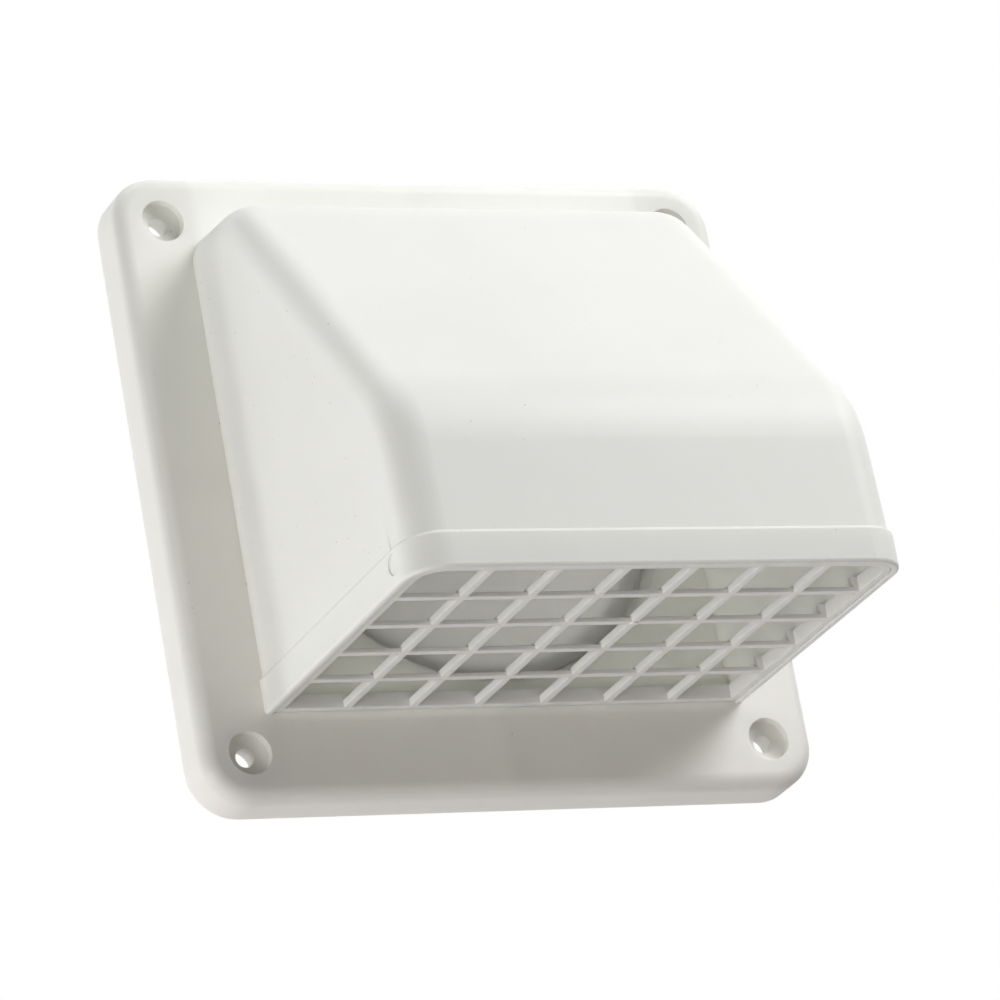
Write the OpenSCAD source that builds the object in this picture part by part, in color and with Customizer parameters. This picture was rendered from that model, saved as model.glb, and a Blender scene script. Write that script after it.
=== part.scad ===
// Wall exhaust hood vent for a round duct.
// A square wall plate, a sloping hood with an open underside, a snap-in
// grille guard and a hanging backdraft flap. All sizes are in millimetres.
// Frame: X to the right, Z up, the wall behind the plate at Y = 0, the hood
// towards -Y. The duct runs along Y through the origin.

/* [Wall plate] */
// Width of the square wall plate
plate_width = 165; // [150:1:200]
// Height of the wall plate
plate_height = 165; // [150:1:200]
// Depth of the plate from the wall to its face
plate_depth = 12.6; // [8:0.2:20]
// Corner radius of the plate
plate_corner_r = 12; // [6:0.5:20]
// Radius of the rounded front rim
rim_r = 3.8; // [2:0.2:6]
// Skin and wall thickness of the plate
plate_wall = 2.2; // [1.6:0.1:3.2]
// Distance between screw centres, both ways
screw_spacing = 140; // [120:1:160]
// Diameter of the screw holes
screw_hole_d = 4.8; // [4:0.1:6]
// Diameter of the counterbores
counterbore_d = 11; // [9:0.5:14]
// Depth of the counterbores' round wall
counterbore_depth = 2.4; // [1:0.1:5]
// Depth of the countersunk floor below that wall
sink_depth = 1.5; // [0.5:0.1:3]
// Thickness of the floor under a screw's head
boss_floor = 2.2; // [1.2:0.1:4]
// Wall thickness of the bosses round the counterbores
boss_wall = 2; // [1.2:0.1:4]
// Diameter of the relief behind the screw holes
relief_d = 9.2; // [6:0.2:12]
// Thickness of the ribs behind the plate
rib_thick = 1.6; // [1:0.1:3]
// Gap between the ribs and the wall
rib_gap = 2; // [0.5:0.1:4]

/* [Hood] */
// Outside width of the hood
hood_width = 127.5; // [110:0.5:140]
// Wall thickness of the hood
hood_wall = 2.4; // [1.6:0.1:3]
// Radius of the long edges between the hood's sides and its top and front
hood_edge_r = 9.2; // [6:0.2:12]
// Height of the hood's roof above the duct axis, at the plate
roof_height = 67.2; // [60:0.2:74]
// Straight length of the short roof, from the plate's face to its bend
roof_straight = 15.5; // [8:0.1:24]
// Fall of the short roof in degrees
roof_fall = 5; // [0:0.5:10]
// Bend radius from the roof to the slope
roof_bend_r = 20; // [12:1:30]
// Angle of the bend from the roof to the slope, in degrees
roof_bend_angle = 45.085; // [30:0.005:60]
// Straight length of the slope between its two bends
slope_straight = 86.7; // [70:0.1:100]
// Bend radius from the slope to the front face
front_bend_r = 34; // [20:1:45]
// Angle of the bend from the slope to the front face, in degrees
front_bend_angle = 36.5075; // [20:0.0025:50]
// Depth of the hood's open bottom below the duct axis
bottom_drop = 60.4; // [56:0.2:66]

/* [Bottom lip] */
// Step of the lip out from the hood's sides
lip_step = 0.85; // [0.4:0.05:2]
// Height of the lip
lip_height = 9.4; // [6:0.2:14]
// Wall thickness of the lip round the guard
lip_wall = 1.9; // [0.9:0.1:2.4]
// Softening of the lip's outer bottom edge
lip_edge = 0.7; // [0.2:0.05:0.9]
// Outside corner radius of the lip
lip_corner_r = 10; // [6:0.5:14]
// Distance from the wall to the front of the lip
lip_front = 107.6; // [90:0.2:120]
// Diameter of the shallow round dimple in each side of the lip
dimple_d = 5.2; // [3:0.1:7]
// Depth of the dimples
dimple_depth = 0.4; // [0.1:0.1:0.7]
// Distance from the wall to the dimples
dimple_from_wall = 95.8; // [80:0.2:100]

/* [Grille guard] */
// Distance between the centres of the bars that run out from the wall
long_pitch = 17.5; // [12:0.05:24]
// Distance between the centres of the bars that run from side to side
cross_pitch = 17.6; // [12:0.05:24]
// Distance from the wall to the first bar that runs from side to side
cross_from_wall = 33.3; // [24:0.1:40]
// Width of the bars
bar_width = 2; // [1.4:0.1:3]
// Height of the bars that run out from the wall
bar_height = 1.9; // [1.2:0.1:4]
// Height of the bars that run from side to side
cross_height = 1.1; // [0.8:0.1:4]
// Width of the guard's outer frame
frame_width = 2.1; // [1.6:0.05:3]
// Height of the guard's outer frame
frame_height = 3.8; // [2.4:0.1:6]
// Setback of the guard above the lip's edge
guard_setback = 0.45; // [0:0.05:2]
// Gap between the guard and the lip
guard_gap = 0.25; // [0.1:0.05:0.5]
// Width of the posts at the ends of the cross bars
post_width = 1.4; // [1:0.1:3]
// Diameter of the small gate mark under one crossing
gate_mark_d = 2; // [1:0.1:3]
// Height of the gate mark
gate_mark_height = 0.4; // [0.2:0.05:0.8]
// Number of bars that run from the wall to the front
long_bars = 6; // [4:1:8]
// Number of bars that run from side to side
cross_bars = 4; // [3:1:6]
// Distance from the wall to the middle of the snap beads
snap_from_wall = 60; // [30:1:80]
// Length of the snap beads
snap_length = 14; // [6:1:20]
// Radius of the snap beads
snap_r = 0.7; // [0.5:0.05:1]
// Distance of the guard's tongues from the middle
tongue_x = 38; // [20:1:50]
// Width of the tongues
tongue_width = 12; // [6:1:20]
// Thickness of the tongues
tongue_thick = 1.4; // [1:0.1:1.6]
// Reach of the tongues into the plate
tongue_reach = 1.6; // [1:0.1:2]

/* [Duct and flap] */
// Outside diameter of the collar that enters the duct
collar_od = 99.4; // [95:0.1:101]
// Wall thickness of the collar
collar_wall = 2.2; // [1.6:0.1:3]
// Length of the collar behind the wall face
collar_length = 38; // [20:1:60]
// Length of the lead-in at the collar's end
collar_lead = 1.2; // [0.4:0.1:3]
// Radius of the round opening in the plate's face
mouth_r = 52.7; // [48:0.1:56]
// Wall thickness of the ring behind that opening
mouth_wall = 2.2; // [1.6:0.1:3]
// Rounding of the opening's front edge
mouth_round = 0.9; // [0.5:0.1:1.5]
// Distance from the wall to the flap's seat
seat_from_wall = 5; // [3:0.1:8]
// Thickness of the flap's seat
seat_thick = 3; // [2.6:0.1:3.6]
// Thickness of the flap
flap_thick = 1.6; // [1.2:0.1:2.4]
// Gap between the flap's edge and the mouth
flap_gap = 1.2; // [0.8:0.1:2]
// Height of the flap's hinge line above the duct axis
hinge_height = 48.5; // [46:0.1:50]
// Radius of the hinge pins
hinge_pin_r = 1.3; // [1:0.05:2]
// Radius of the hinge barrel
hinge_barrel_r = 2; // [1.8:0.1:3]
// Gap round the hinge pins
hinge_gap = 0.1; // [0.05:0.05:0.4]
// Gap round the hinge barrel
barrel_gap = 0.25; // [0.15:0.05:0.5]

/* [Hidden] */
$fn = 64;

half_w = hood_width / 2;
// how far the hood's walls run into the plate's skin
root = 0.8;
hood_n = plate_depth - root;
slope_fall = roof_fall + roof_bend_angle;
front_fall = slope_fall + front_bend_angle;
// side-view points: centre of the roof bend, centre of the front bend, end of the front bend
roof_dir = [cos(roof_fall), -sin(roof_fall)];
slope_dir = [cos(slope_fall), -sin(slope_fall)];
roof_up = [sin(roof_fall), cos(roof_fall)];
slope_up = [sin(slope_fall), cos(slope_fall)];
front_up = [sin(front_fall), cos(front_fall)];
roof_start = [plate_depth, roof_height] - root * roof_dir;
c1 = [plate_depth, roof_height] + roof_straight * roof_dir - roof_bend_r * roof_up;
c2 = c1 + roof_bend_r * slope_up + slope_straight * slope_dir - front_bend_r * slope_up;
front_start = c2 + front_bend_r * front_up;
front_straight = (front_start[1] + bottom_drop + 3) / sin(front_fall);
// depth of the legs of the bent wall, and how far the side walls run up behind them
leg = 12;
leg_lap = 1.3;
lip_half = half_w + lip_step;
guard_low = -bottom_drop + guard_setback;
guard_top = guard_low + frame_height;
pocket_top = guard_top + 0.1;
guard_half = lip_half - lip_wall - guard_gap;
guard_front = lip_front - lip_wall - guard_gap;
guard_back = plate_depth + 0.3;
// height of the snap beads above the guard's underside, how deep they sit in it, their gap
snap_z = guard_low + 2;
snap_sink = 0.25;
snap_gap = 0.1;
// height of the tongues above the guard's underside
tongue_z = guard_low + 1.2;
seat_low = seat_from_wall - seat_thick;
collar_ir = collar_od / 2 - collar_wall;
flap_r = mouth_r - flap_gap;
// the shut flap stands this far off its seat
flap_rest = 0.1;
flap_back = seat_from_wall + flap_rest;
hinge_n = flap_back + 0.1;
// half lengths of the hinge barrel and of the pin, and the gaps at their ends
knuckle_half = 12.5;
knuckle_gap = 0.5;
pin_half = 23.6;
pin_end_gap = 0.8;
// boxes at the mouth's edge that hold the pin's ends: middle, width, lower edge, height
pin_boss_x = 22.5;
pin_boss_width = 8;
pin_boss_low = 44.5;
pin_boss_height = 8.4;
// top edge of the flap's disc, and lower edge of the fixed web above it
chord_z = 42;
port_top = 40;
// trimming circle of the flap's shoulders: how far it is lowered and how much it is larger
shoulder_drop = 3.5;
shoulder_more = 1;

// Plate coordinates: the 2D shape lies on the wall, its height runs out from it.
module from_wall(n0 = 0) {
    translate([0, -n0, 0]) rotate([90, 0, 0]) children();
}

// Side-view coordinates: first axis out from the wall, second axis up.
module side_view() {
    rotate([90, 0, -90]) children();
}

module rounded_rect(w, h, r) {
    union() {
        square([w - 2 * r, h], center = true);
        square([w, h - 2 * r], center = true);
        for (sx = [-1, 1])
            for (sz = [-1, 1])
                translate([sx * (w / 2 - r), sz * (h / 2 - r)]) circle(r = r);
    }
}

module quarter_disc(r) {
    intersection() {
        circle(r = r);
        square([r, r]);
    }
}

// Rounded front rim, one quarter bar for each side and corner.
module rim_round() {
    base = plate_depth - rim_r;
    hw = plate_width / 2;
    hh = plate_height / 2;
    for (s = [0, 1])
        rotate([0, 0, 180 * s]) {
            translate([hw - rim_r, hh - plate_corner_r, base])
                rotate([90, 0, 0]) linear_extrude(height = plate_height - 2 * plate_corner_r)
                    quarter_disc(rim_r);
            translate([-(hw - plate_corner_r), hh - rim_r, base])
                rotate([90, 0, 90]) linear_extrude(height = plate_width - 2 * plate_corner_r)
                    quarter_disc(rim_r);
        }
    for (a = [0, 90, 180, 270]) {
        cx = (a == 0 || a == 270 ? 1 : -1) * (hw - plate_corner_r);
        cy = (a < 180 ? 1 : -1) * (hh - plate_corner_r);
        translate([cx, cy, base]) rotate([0, 0, a])
            rotate_extrude(angle = 90)
                translate([plate_corner_r - rim_r, 0]) quarter_disc(rim_r);
    }
}

module plate_solid() {
    base = plate_depth - rim_r;
    linear_extrude(height = base)
        rounded_rect(plate_width, plate_height, plate_corner_r);
    translate([0, 0, base]) linear_extrude(height = rim_r)
        rounded_rect(plate_width - 2 * rim_r, plate_height - 2 * rim_r, plate_corner_r - rim_r);
    rim_round();
}

module screw_points() {
    for (sx = [-1, 1])
        for (sz = [-1, 1])
            translate([sx * screw_spacing / 2, sz * screw_spacing / 2, 0]) children();
}

// Ribs behind the plate's face, from the ring to the rim and to the screw bosses.
module plate_ribs() {
    h = plate_depth - plate_wall / 2 - rib_gap;
    r0 = mouth_r + mouth_wall / 2;
    reach = plate_width / 2 - plate_wall / 2;
    boss_reach = screw_spacing / sqrt(2) - counterbore_d / 2;
    for (a = [0, 90, 180, 270])
        rotate([0, 0, a]) {
            translate([r0, -rib_thick / 2, rib_gap]) cube([reach - r0, rib_thick, h]);
            rotate([0, 0, 45])
                translate([r0, -rib_thick / 2, rib_gap]) cube([boss_reach - r0, rib_thick, h]);
        }
}

// Flat plate tray, open towards the wall, with its four screw bosses.
module plate() {
    difference() {
        union() {
            difference() {
                plate_solid();
                translate([0, 0, -1]) linear_extrude(height = plate_depth - plate_wall + 1)
                    rounded_rect(plate_width - 2 * plate_wall, plate_height - 2 * plate_wall,
                        plate_corner_r - plate_wall);
            }
            screw_points() cylinder(r = counterbore_d / 2 + boss_wall, h = plate_depth - 1);
            plate_ribs();
        }
        screw_points() {
            translate([0, 0, -1]) cylinder(r = screw_hole_d / 2, h = plate_depth + 2);
            translate([0, 0, plate_depth - counterbore_depth - sink_depth])
                cylinder(r1 = screw_hole_d / 2, r2 = counterbore_d / 2, h = sink_depth);
            translate([0, 0, plate_depth - counterbore_depth])
                cylinder(r = counterbore_d / 2, h = counterbore_depth + 1);
            translate([0, 0, -1]) cylinder(r = relief_d / 2,
                h = plate_depth - counterbore_depth - sink_depth - boss_floor + 1);
        }
    }
}

// Collar, flap seat and the deep round mouth, one turned form.
module duct_ring() {
    rotate_extrude()
        polygon([
            [collar_ir, -collar_length],
            [collar_od / 2 - collar_lead / 1.5, -collar_length],
            [collar_od / 2, -collar_length + collar_lead],
            [collar_od / 2, seat_low],
            [mouth_r + mouth_wall, seat_low],
            [mouth_r + mouth_wall, plate_depth - 1],
            [mouth_r, plate_depth - 1],
            [mouth_r, seat_from_wall],
            [collar_ir, seat_from_wall]
        ]);
    // fixed web above the flap, so the short top of the flap leaves no gap
    translate([0, 0, seat_low]) linear_extrude(height = seat_thick)
        intersection() {
            circle(r = collar_ir + 1);
            translate([-collar_od / 2, port_top]) square([collar_od, collar_od / 2]);
        }
}

// Rounds the front edge of the mouth.
module mouth_cut() {
    translate([0, 0, seat_from_wall]) cylinder(r = mouth_r, h = plate_depth);
    translate([0, 0, plate_depth - mouth_round]) rotate_extrude()
        difference() {
            translate([mouth_r - 1, 0]) square([mouth_round + 1, 2]);
            translate([mouth_r + mouth_round, 0]) circle(r = mouth_round);
        }
}

// Thick places beside the mouth that hold the ends of the hinge pin.
module hinge_bosses() {
    for (s = [-1, 1])
        difference() {
            translate([s * pin_boss_x - pin_boss_width / 2, pin_boss_low, seat_low])
                cube([pin_boss_width, pin_boss_height, plate_depth - 1 - seat_low]);
            translate([0, 0, -1]) cylinder(r = collar_od / 2, h = plate_depth + 1);
            translate([0, 0, seat_from_wall]) cylinder(r = mouth_r, h = plate_depth);
        }
}

module hinge_holes() {
    translate([-pin_half - pin_end_gap, hinge_height, hinge_n]) rotate([0, 90, 0])
        cylinder(r = hinge_pin_r + hinge_gap, h = 2 * (pin_half + pin_end_gap));
    translate([-knuckle_half - knuckle_gap, hinge_height, hinge_n]) rotate([0, 90, 0])
        cylinder(r = hinge_barrel_r + barrel_gap, h = 2 * (knuckle_half + knuckle_gap));
}

// Cross-section of the hood's wall: the skin with its two rounded edges and
// short legs. The outside lies on the second axis's zero line.
module wall_outline(hw, r, depth) {
    intersection() {
        translate([-hw, -depth]) square([2 * hw, depth]);
        union() {
            translate([-(hw - r), -depth]) square([2 * (hw - r), depth]);
            translate([-hw, -depth]) square([2 * hw, depth - r]);
            for (s = [-1, 1]) translate([s * (hw - r), -r]) circle(r = r);
        }
    }
}

module wall_section() {
    difference() {
        wall_outline(half_w, hood_edge_r, leg);
        translate([0, -hood_wall])
            wall_outline(half_w - hood_wall, hood_edge_r - hood_wall, leg + 1);
    }
}

module wall_run(length) {
    rotate([0, 90, 0]) linear_extrude(height = length) wall_section();
}

// Bend about the local origin, from straight up towards the front.
module wall_bend(r, angle) {
    rotate([0, 0, 90]) mirror([0, 1, 0]) rotate_extrude(angle = angle)
        translate([r, 0]) rotate([0, 0, -90]) wall_section();
}

// Turns a side-view point into the roof's own frame, where the roof lies along the first axis.
function on_roof(p) = [(p - roof_start) * roof_dir, (p - roof_start) * roof_up];

// Flat of a side wall: its edge stays under the legs of the roof, slope and front.
module side_wall_shape() {
    d = leg - leg_lap;
    f1 = roof_fall + roof_bend_angle / 2;
    f2 = slope_fall + front_bend_angle / 2;
    polygon([
        on_roof([hood_n, -bottom_drop - 1]),
        on_roof([hood_n, roof_height - d]),
        on_roof(c1 + (roof_bend_r - d) / cos(roof_bend_angle / 2) * [sin(f1), cos(f1)]),
        on_roof(c2 + (front_bend_r - d) / cos(front_bend_angle / 2) * [sin(f2), cos(f2)]),
        on_roof([front_start[0] - d, -bottom_drop - 1])
    ]);
}

// Hood shell: roof, slope and front joined by their bends, and the two sides.
// Each piece starts in the frame where the one before it ends.
module hood_shell() {
    side_view() translate([roof_start[0], roof_start[1], 0]) rotate([0, 0, -roof_fall]) {
        wall_run(root + roof_straight);
        translate([root + roof_straight, -roof_bend_r, 0]) {
            wall_bend(roof_bend_r, roof_bend_angle);
            rotate([0, 0, -roof_bend_angle]) translate([0, roof_bend_r, 0]) {
                wall_run(slope_straight);
                translate([slope_straight, -front_bend_r, 0]) {
                    wall_bend(front_bend_r, front_bend_angle);
                    rotate([0, 0, -front_bend_angle]) translate([0, front_bend_r, 0])
                        wall_run(front_straight);
                }
            }
        }
        for (s = [-1, 1])
            translate([0, 0, s > 0 ? half_w - hood_wall : -half_w])
                linear_extrude(height = hood_wall) side_wall_shape();
    }
}

// Profile of the lip: outside on the zero line, its top edge sloped, its bottom edge softened.
module lip_profile() {
    top = -bottom_drop + lip_height;
    polygon([
        [-lip_wall, -bottom_drop],
        [-lip_edge, -bottom_drop],
        [-0.3 * lip_edge, -bottom_drop + 0.3 * lip_edge],
        [0, -bottom_drop + lip_edge],
        [0, top - lip_step],
        [-lip_step, top],
        [-lip_wall, top]
    ]);
}

module lip() {
    side_run = lip_front - lip_corner_r - hood_n;
    for (s = [-1, 1])
        translate([s * (lip_half - lip_corner_r), -(lip_front - lip_corner_r), 0])
            rotate([0, 0, s > 0 ? -90 : 180])
                rotate_extrude(angle = 90) translate([lip_corner_r, 0]) lip_profile();
    translate([lip_half, -hood_n, 0]) rotate([90, 0, 0])
        linear_extrude(height = side_run) lip_profile();
    mirror([1, 0, 0]) translate([lip_half, -hood_n, 0]) rotate([90, 0, 0])
        linear_extrude(height = side_run) lip_profile();
    translate([-(lip_half - lip_corner_r), -lip_front, 0]) rotate([90, 0, -90]) mirror([0, 0, 1])
        linear_extrude(height = 2 * (lip_half - lip_corner_r)) lip_profile();
}

// Rounded pocket that the guard sits in, and its outline for the guard.
module guard_outline(half, front, back, r) {
    union() {
        translate([-half, -front + r]) square([2 * half, front - back - r]);
        translate([-(half - r), -front]) square([2 * (half - r), r + 1]);
        for (s = [-1, 1]) translate([s * (half - r), -front + r]) circle(r = r);
    }
}

module hood_body() {
    color("White") difference() {
        union() {
            from_wall() difference() {
                union() {
                    plate();
                    hinge_bosses();
                }
                mouth_cut();
                translate([0, 0, -1]) cylinder(r = mouth_r, h = seat_from_wall + 1);
            }
            from_wall() duct_ring();
            hood_shell();
            lip();
        }
        from_wall() hinge_holes();
        // level bottom
        translate([-100, -150, -bottom_drop - 20]) cube([200, 150 - plate_depth, 20]);
        // pocket for the guard
        translate([0, 0, -bottom_drop - 1]) linear_extrude(height = pocket_top + bottom_drop + 1)
            guard_outline(lip_half - lip_wall, lip_front - lip_wall, plate_depth, lip_corner_r - lip_wall);
        // dimples and snap grooves in the lip
        for (s = [-1, 1]) {
            translate([s > 0 ? lip_half - dimple_depth : -lip_half - 2, -dimple_from_wall,
                -bottom_drop + lip_height / 2 + 0.6])
                rotate([0, 90, 0]) cylinder(r = dimple_d / 2, h = 2 + dimple_depth);
            translate([s * (guard_half - snap_sink), -snap_from_wall + snap_length / 2 + snap_gap, snap_z])
                rotate([90, 0, 0]) cylinder(r = snap_r + snap_gap, h = snap_length + 2 * snap_gap);
        }
        // slots for the guard's two tongues
        for (s = [-1, 1])
            translate([s * tongue_x - tongue_width / 2 - guard_gap, -plate_depth - 1, tongue_z - guard_gap])
                cube([tongue_width + 2 * guard_gap, plate_wall + 2, tongue_thick + 2 * guard_gap]);
    }
}

module guard_frame() {
    difference() {
        guard_outline(guard_half, guard_front, guard_back, lip_corner_r - lip_wall - guard_gap);
        guard_outline(guard_half - frame_width, guard_front - frame_width,
            guard_back + frame_width, lip_corner_r - lip_wall - guard_gap - frame_width);
    }
}

module guard_bars() {
    first_x = -(long_bars - 1) / 2 * long_pitch - bar_width / 2;
    for (i = [0:long_bars - 1])
        translate([first_x + i * long_pitch, -guard_front + 1, guard_low])
            cube([bar_width, guard_front - guard_back - 2, bar_height]);
    for (i = [0:cross_bars - 1])
        translate([0, -cross_from_wall - i * cross_pitch - bar_width / 2, guard_low]) {
            translate([-guard_half + 1, 0, 0]) cube([2 * guard_half - 2, bar_width, cross_height]);
            for (s = [-1, 1])
                translate([s > 0 ? guard_half - frame_width - post_width
                    : -guard_half + frame_width - 0.5, 0, 0])
                    cube([post_width + 0.5, bar_width, frame_height]);
        }
    // small round gate mark under one crossing
    translate([long_pitch / 2, -cross_from_wall - 2 * cross_pitch, guard_low - gate_mark_height])
        cylinder(r = gate_mark_d / 2, h = gate_mark_height + cross_height / 2);
}

// Snap beads on the guard's sides and the tongues on its rear bar.
module guard_snaps() {
    lap = frame_width / 2;
    for (s = [-1, 1]) {
        translate([s * (guard_half - snap_sink), -snap_from_wall + snap_length / 2, snap_z])
            rotate([90, 0, 0]) cylinder(r = snap_r, h = snap_length);
        translate([s * tongue_x - tongue_width / 2, -guard_back - lap, tongue_z])
            cube([tongue_width, guard_back - plate_depth + tongue_reach + lap, tongue_thick]);
    }
}

// Lattice guard that snaps into the lip from below.
module grille_guard() {
    color("Gainsboro") union() {
        translate([0, 0, guard_low]) linear_extrude(height = frame_height) guard_frame();
        guard_bars();
        guard_snaps();
    }
}

// Hanging flap, hinged along its top edge.
module damper_flap() {
    color("WhiteSmoke") from_wall() union() {
        translate([0, 0, flap_back]) linear_extrude(height = flap_thick) {
            // the second circle trims the shoulders, so they clear the mouth as the flap opens
            intersection() {
                circle(r = flap_r);
                translate([0, -shoulder_drop]) circle(r = flap_r + shoulder_more);
                translate([-mouth_r, -mouth_r]) square([2 * mouth_r, mouth_r + chord_z]);
            }
            translate([-knuckle_half, chord_z - 1]) square([2 * knuckle_half, hinge_height - chord_z + 1]);
        }
        translate([-knuckle_half, hinge_height, hinge_n]) rotate([0, 90, 0])
            cylinder(r = hinge_barrel_r, h = 2 * knuckle_half);
        translate([-pin_half, hinge_height, hinge_n]) rotate([0, 90, 0])
            cylinder(r = hinge_pin_r, h = 2 * pin_half);
    }
}

hood_body();
grille_guard();
damper_flap();
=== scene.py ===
from math import radians

import bpy
from mathutils import Matrix, Quaternion, Vector


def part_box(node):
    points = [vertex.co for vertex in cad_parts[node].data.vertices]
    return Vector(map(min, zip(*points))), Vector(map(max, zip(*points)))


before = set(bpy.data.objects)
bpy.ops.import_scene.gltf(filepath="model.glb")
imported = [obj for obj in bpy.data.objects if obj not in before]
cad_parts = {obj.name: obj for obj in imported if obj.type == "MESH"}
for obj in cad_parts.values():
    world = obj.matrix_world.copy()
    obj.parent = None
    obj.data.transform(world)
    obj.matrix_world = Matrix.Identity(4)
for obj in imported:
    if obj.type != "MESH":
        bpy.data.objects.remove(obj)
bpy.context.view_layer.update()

# Places on the hood body where its plastic changes, in metres. A mask is 0 at the first place
# of its pair and 1 at the second. The guard fills the hood's underside, so the hood's sides,
# its foot and its lip are found from the guard.
PLATE_FACE = -0.0126
guard_low, guard_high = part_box("grille_guard")
BETWEEN_SIDES = (guard_high[0] - 0.0004, guard_high[0] - 0.0029)
ABOVE_FOOT = (guard_low[2] - 0.0022, guard_low[2] + 0.0003)
ON_LIP = (guard_high[2] + 0.018, guard_high[2] + 0.010)
ON_PLATE = (PLATE_FACE - 0.0024, PLATE_FACE - 0.0004)
CLEAR_OF_PLATE = (PLATE_FACE - 0.0034, PLATE_FACE - 0.0074)

# The plate's painted shade, a pinkish darkening round the hood, weakens from the first height to the
# second.
PAINTED_SHADE_HEIGHTS = (-0.050, 0.065)
PAINTED_SHADE_STRENGTHS = (1.0, 0.5)

# Colours. A tint multiplies the plastic's own colour.
WHITE = (1.0, 1.0, 1.0)
CLOUD_TINT = (0.975, 0.973, 0.968)
# Painted shade: the pinkish darkening laid on the plate round the hood, strongest low down.
PAINTED_SHADE_TINT = (0.895, 0.868, 0.874)
DUST_GREY = (0.36, 0.34, 0.31)
FLOOR_BOUNCE = (0.56, 0.53, 0.525)
FLOOR_SEEN = (0.42, 0.415, 0.41)

# The finish that all the plastics share: how far red, green and blue light go in a wall
# against each other, how far the roughness swings either way, and the radius in metres to
# which edges look softened.
PLASTIC_IOR = 1.46
GLOW_REACH = (1.0, 0.97, 0.90)
ROUGH_SWING = 0.04
EDGE_RADIUS = 0.0003

# The floor, in metres. Seen directly it glows, the more so from the first distance of its
# fade to the second.
FLOOR_HEIGHT = -0.75
FLOOR_SIZE = 8.0
FLOOR_FADE = (0.3, 3.0)
FLOOR_GLOW = (0.52, 1.0)

# Camera: place, aim, roll and lens measured from the photograph's own perspective.
# Places are in metres, the lens and its sensor in millimetres.
SENSOR_WIDTH = 36.0
CAMERA_PLACE = Vector((-0.62908, -1.25914, -0.51716))
CAMERA_AIM = Vector((0.0, -0.02844, -0.01171))
CAMERA_ROLL = radians(-10.383)
CAMERA_LENS = 216.07


# Helpers for the node trees.
def new_material(name):
    """An empty material and its node tree."""
    mat = bpy.data.materials.new(name)
    mat.use_nodes = True
    mat.node_tree.nodes.clear()
    return mat, mat.node_tree


def noise(tree, coords, scale, detail, rough=0.5):
    """Noise from 0 to 1, its scale in lumps to the metre."""
    tex = tree.nodes.new("ShaderNodeTexNoise")
    tex.inputs["Scale"].default_value = scale
    tex.inputs["Detail"].default_value = detail
    tex.inputs["Roughness"].default_value = rough
    tree.links.new(coords, tex.inputs["Vector"])
    return tex.outputs["Fac"]


def ramp(tree, value, start, end, low=0.0, high=1.0):
    """low where the value is start, high where it is end, and level beyond them."""
    node = tree.nodes.new("ShaderNodeMapRange")
    node.clamp = True
    node.inputs["From Min"].default_value = start
    node.inputs["From Max"].default_value = end
    node.inputs["To Min"].default_value = low
    node.inputs["To Max"].default_value = high
    tree.links.new(value, node.inputs["Value"])
    return node.outputs["Result"]


def joined(tree, operation, first, *others):
    """The values taken together by one math operation, one after another."""
    result = first
    for value in others:
        node = tree.nodes.new("ShaderNodeMath")
        node.operation = operation
        tree.links.new(result, node.inputs[0])
        tree.links.new(value, node.inputs[1])
        result = node.outputs[0]
    return result


def tinted(colour, tint):
    """The colour multiplied by the tint."""
    return tuple(c * t for c, t in zip(colour, tint))


def blend_colour(tree, factor, below, colour):
    """The colour laid over the one below by a factor; below is a colour or a node's output."""
    mix = tree.nodes.new("ShaderNodeMix")
    mix.data_type = "RGBA"
    tree.links.new(factor, mix.inputs["Factor"])
    if isinstance(below, tuple):
        mix.inputs["A"].default_value = (*below, 1.0)
    else:
        tree.links.new(below, mix.inputs["A"])
    mix.inputs["B"].default_value = (*colour, 1.0)
    return mix.outputs["Result"]


def relief(tree, height, strength, depth, normal):
    """A height laid on the surface as bump, over the normal below it; depth in metres."""
    bump = tree.nodes.new("ShaderNodeBump")
    bump.inputs["Strength"].default_value = strength
    bump.inputs["Distance"].default_value = depth
    tree.links.new(height, bump.inputs["Height"])
    tree.links.new(normal, bump.inputs["Normal"])
    return bump.outputs["Normal"]


def diffuse(tree, colour):
    """A plain matt surface of that colour."""
    node = tree.nodes.new("ShaderNodeBsdfDiffuse")
    node.inputs["Color"].default_value = (*colour, 1.0)
    return node.outputs["BSDF"]


def seen_directly(tree):
    """1 for camera, glossy and transmission rays, 0 for the rays that carry light."""
    path = tree.nodes.new("ShaderNodeLightPath").outputs
    return joined(tree, "MAXIMUM", path["Is Camera Ray"], path["Is Glossy Ray"],
                  path["Is Transmission Ray"])


# The moulded plastic.
def plate_outside_hood(tree, place):
    """1 on the wall plate round the hood, 0 on the hood and on the plate inside it."""
    across = tree.nodes.new("ShaderNodeMath")
    across.operation = "ABSOLUTE"
    tree.links.new(place["X"], across.inputs[0])
    inside = joined(tree, "MULTIPLY", ramp(tree, across.outputs[0], *BETWEEN_SIDES),
                    ramp(tree, place["Z"], *ABOVE_FOOT))
    outside = ramp(tree, inside, 1.0, 0.0)
    return joined(tree, "MULTIPLY", ramp(tree, place["Y"], *ON_PLATE), outside)


def lip_of_hood(tree, place):
    """1 on the thick lip round the guard, 0 higher up and on the plate."""
    return joined(tree, "MULTIPLY", ramp(tree, place["Z"], *ON_LIP),
                  ramp(tree, place["Y"], *CLEAR_OF_PLATE))


def painted_plate_shade(tree, coords, place, plate):
    """A cloudy painted shade on the plate round the hood, stronger low down where the hood shades it.
    """
    low_down = ramp(tree, place["Z"], *PAINTED_SHADE_HEIGHTS, *PAINTED_SHADE_STRENGTHS)
    cloud = noise(tree, coords, scale=38.0, detail=4.0, rough=0.6)
    return joined(tree, "MULTIPLY", plate, low_down, ramp(tree, cloud, 0.3, 0.7, low=0.7))


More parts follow.
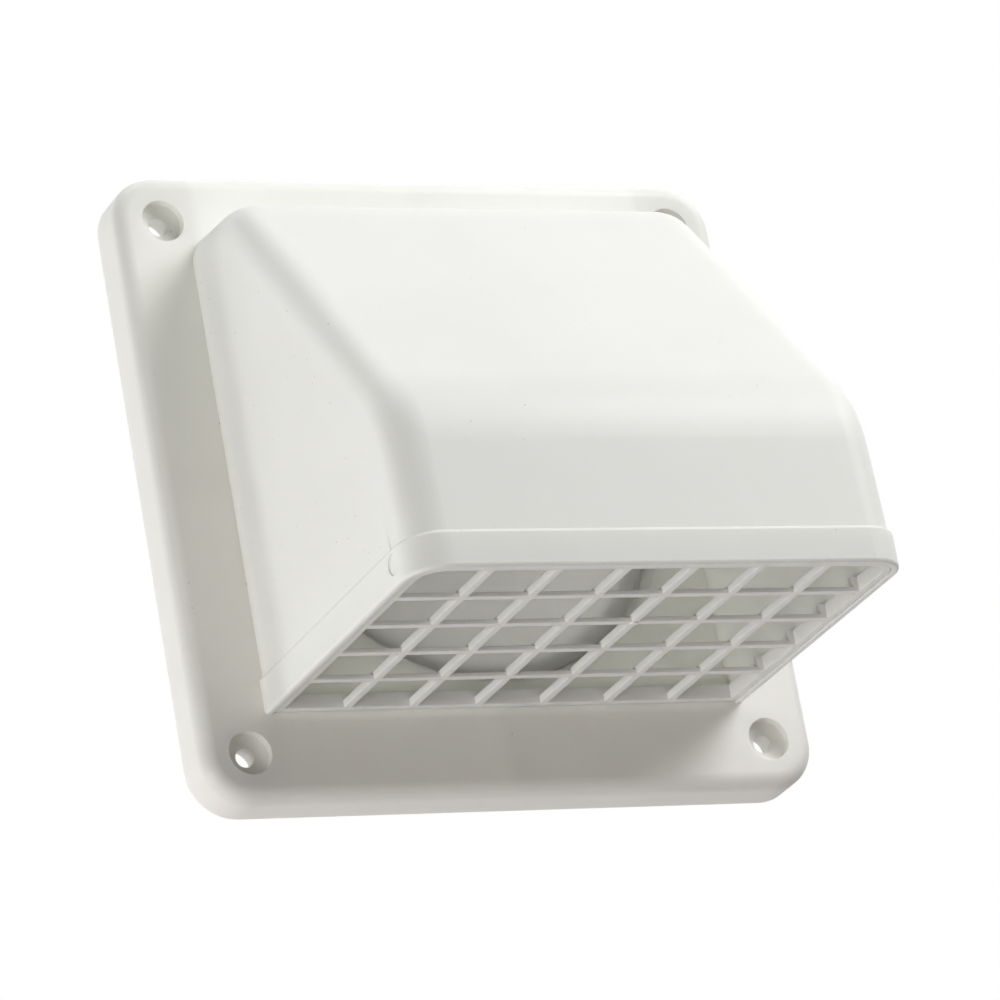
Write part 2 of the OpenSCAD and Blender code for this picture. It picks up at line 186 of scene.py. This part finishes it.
def specks(tree, coords, scale, radius, share):
    """Round specks in that share of the cells, radius in metres, some fainter than others."""
    cells = tree.nodes.new("ShaderNodeTexVoronoi")
    cells.inputs["Scale"].default_value = scale
    tree.links.new(coords, cells.inputs["Vector"])
    draws = tree.nodes.new("ShaderNodeSeparateColor")
    tree.links.new(cells.outputs["Color"], draws.inputs["Color"])
    edge = radius * scale
    core = 0.6 * edge
    bare = 1.0 - share
    dot = ramp(tree, cells.outputs["Distance"], edge, core)
    chosen = ramp(tree, draws.outputs["Red"], bare, bare + 0.001)
    strength = ramp(tree, draws.outputs["Green"], 0.0, 1.0, low=0.10, high=0.48)
    return joined(tree, "MULTIPLY", dot, chosen, strength)


def mould_surface(tree, coords):
    """Fine eroded grain over a very slight waviness, on edges that are softened a little."""
    soft_edges = tree.nodes.new("ShaderNodeBevel")
    soft_edges.samples = 4
    soft_edges.inputs["Radius"].default_value = EDGE_RADIUS
    waves = noise(tree, coords, scale=60.0, detail=1.0)
    grain = noise(tree, coords, scale=1800.0, detail=2.0)
    wavy = relief(tree, waves, strength=0.10, depth=0.0004, normal=soft_edges.outputs["Normal"])
    return relief(tree, grain, strength=0.12, depth=0.00005, normal=wavy)


def moulded_plastic(name, base, rough, glow, depth, dense_glow=None):
    """Satin injection-moulded plastic, thin enough for some light to pass through its walls.

    glow is the share of light that enters a wall, depth how far it goes in metres.
    dense_glow is given for the hood body alone: it is that share on the plate outside the hood,
    which also gets a painted shade, and on the thick lip.
    """
    mat, tree = new_material(name)
    bsdf = tree.nodes.new("ShaderNodeBsdfPrincipled")
    bsdf.inputs["IOR"].default_value = PLASTIC_IOR
    bsdf.inputs["Subsurface Radius"].default_value = GLOW_REACH
    bsdf.inputs["Subsurface Scale"].default_value = depth
    out = tree.nodes.new("ShaderNodeOutputMaterial")
    tree.links.new(bsdf.outputs["BSDF"], out.inputs["Surface"])
    coords = tree.nodes.new("ShaderNodeTexCoord").outputs["Object"]

    # faint flow marks and clouding of the moulding, in its colour and its roughness
    mottle = noise(tree, coords, scale=24.0, detail=3.0)
    colour = blend_colour(tree, ramp(tree, mottle, 0.35, 0.65), tinted(base, CLOUD_TINT), base)
    uneven = ramp(tree, mottle, 0.3, 0.7, low=rough - ROUGH_SWING, high=rough + ROUGH_SWING)
    tree.links.new(uneven, bsdf.inputs["Roughness"])
    if dense_glow is None:
        bsdf.inputs["Subsurface Weight"].default_value = glow
    else:
        split = tree.nodes.new("ShaderNodeSeparateXYZ")
        tree.links.new(coords, split.inputs["Vector"])
        place = split.outputs
        plate = plate_outside_hood(tree, place)
        dense = joined(tree, "MAXIMUM", plate, lip_of_hood(tree, place))
        share = ramp(tree, dense, 0.0, 1.0, low=glow, high=dense_glow)
        tree.links.new(share, bsdf.inputs["Subsurface Weight"])
        # painted shade on the plate round the hood, darker low down where the hood shades it
        shaded_plate_colour = tinted(base, PAINTED_SHADE_TINT)
        colour = blend_colour(tree, painted_plate_shade(tree, coords, place, plate), colour, shaded_plate_colour)
    dust = specks(tree, coords, scale=330.0, radius=0.00030, share=0.07)
    colour = blend_colour(tree, dust, colour, DUST_GREY)
    tree.links.new(colour, bsdf.inputs["Base Color"])
    tree.links.new(mould_surface(tree, coords), bsdf.inputs["Normal"])
    return mat


PLASTICS = {
    "hood_body": moulded_plastic("hood_plastic_white", base=(0.886, 0.899, 0.848), rough=0.46,
                                 glow=0.8, depth=0.0042, dense_glow=0.4),
    "grille_guard": moulded_plastic("guard_plastic_white", base=(0.845, 0.847, 0.812), rough=0.42,
                                    glow=0.7, depth=0.0020),
    # The flap is white plastic, but its colour is set lighter than the hood's as painted light,
    # standing in for the light that fills the hood's inside.
    "damper_flap": moulded_plastic("flap_plastic_white", base=(0.950, 0.948, 0.920), rough=0.5,
                                   glow=0.8, depth=0.0040),
}
for node, plastic in PLASTICS.items():
    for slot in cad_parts[node].material_slots:
        slot.material = plastic


# Stage: a pale floor well below the vent, and a white studio world.
def floor_material():
    """A diffuse floor that takes the shadow; seen directly it is pale, and fades to white far off."""
    mat, tree = new_material("floor_pale")
    pale = tree.nodes.new("ShaderNodeEmission")
    reach = tree.nodes.new("ShaderNodeVectorMath")
    reach.operation = "LENGTH"
    tree.links.new(tree.nodes.new("ShaderNodeTexCoord").outputs["Object"], reach.inputs[0])
    glow = ramp(tree, reach.outputs["Value"], *FLOOR_FADE, *FLOOR_GLOW)
    tree.links.new(glow, pale.inputs["Strength"])
    shown = tree.nodes.new("ShaderNodeAddShader")
    tree.links.new(diffuse(tree, FLOOR_SEEN), shown.inputs[0])
    tree.links.new(pale.outputs["Emission"], shown.inputs[1])
    either = tree.nodes.new("ShaderNodeMixShader")
    tree.links.new(seen_directly(tree), either.inputs["Fac"])
    tree.links.new(diffuse(tree, FLOOR_BOUNCE), either.inputs[1])
    tree.links.new(shown.outputs["Shader"], either.inputs[2])
    out = tree.nodes.new("ShaderNodeOutputMaterial")
    tree.links.new(either.outputs["Shader"], out.inputs["Surface"])
    return mat


def studio_world():
    """White where it is seen directly; all the light comes from the lamps."""
    world = bpy.data.worlds.new("studio")
    world.use_nodes = True
    tree = world.node_tree
    tree.nodes.clear()
    background = tree.nodes.new("ShaderNodeBackground")
    background.inputs["Color"].default_value = (*WHITE, 1.0)
    tree.links.new(seen_directly(tree), background.inputs["Strength"])
    out = tree.nodes.new("ShaderNodeOutputWorld")
    tree.links.new(background.outputs["Background"], out.inputs["Surface"])
    return world


bpy.ops.mesh.primitive_plane_add(size=FLOOR_SIZE, location=(0.0, 0.0, FLOOR_HEIGHT))
floor = bpy.context.object
floor.name = "floor"
floor.data.materials.append(floor_material())
bpy.context.scene.world = studio_world()


# Lamps: soft boxes round the vent, which stands free in the studio as in the photograph.
def softbox(name, direction, watts, distance=1.3, size=0.8, tint=WHITE):
    """A square area lamp in that direction from the origin, aimed at it; lengths in metres."""
    way = Vector(direction).normalized()
    data = bpy.data.lights.new(name, "AREA")
    data.shape = "SQUARE"
    data.size = size
    data.energy = watts
    data.color = tint
    lamp = bpy.data.objects.new(name, data)
    lamp.location = way * distance
    lamp.rotation_euler = way.to_track_quat("Z", "Y").to_euler()
    lamp.visible_camera = False
    bpy.context.scene.collection.objects.link(lamp)


softbox("right_front_top_box", (1.0, -1.0, 1.0), watts=15.4)
softbox("back_box", (0.0, 1.0, 0.0), watts=10.0)
softbox("top_box", (0.0, -0.05, 1.0), watts=6.0)
softbox("bottom_left_box", (-1.0, -0.3, -0.8), watts=4.2, distance=1.118, tint=(1.0, 0.955, 0.94))
softbox("back_top_left_box", (-1.0, 0.8, 0.9), watts=2.8)
softbox("low_left_box", (-1.0, -0.3, -0.35), watts=5.6, distance=1.2)
softbox("back_left_box", (-1.0, 0.8, 0.0), watts=2.4, size=0.3)


def add_camera():
    """The camera at its place, aimed and then rolled about its own view line."""
    data = bpy.data.cameras.new("camera")
    data.sensor_width = SENSOR_WIDTH
    data.lens = CAMERA_LENS
    data.clip_start = 0.05
    data.clip_end = 50.0
    camera = bpy.data.objects.new("camera", data)
    aimed = (CAMERA_PLACE - CAMERA_AIM).to_track_quat("Z", "Y")
    turn = aimed @ Quaternion((0.0, 0.0, 1.0), CAMERA_ROLL)
    camera.matrix_world = Matrix.Translation(CAMERA_PLACE) @ turn.to_matrix().to_4x4()
    bpy.context.scene.collection.objects.link(camera)
    return camera


bpy.context.scene.camera = add_camera()
bpy.context.scene.view_settings.view_transform = "Standard"
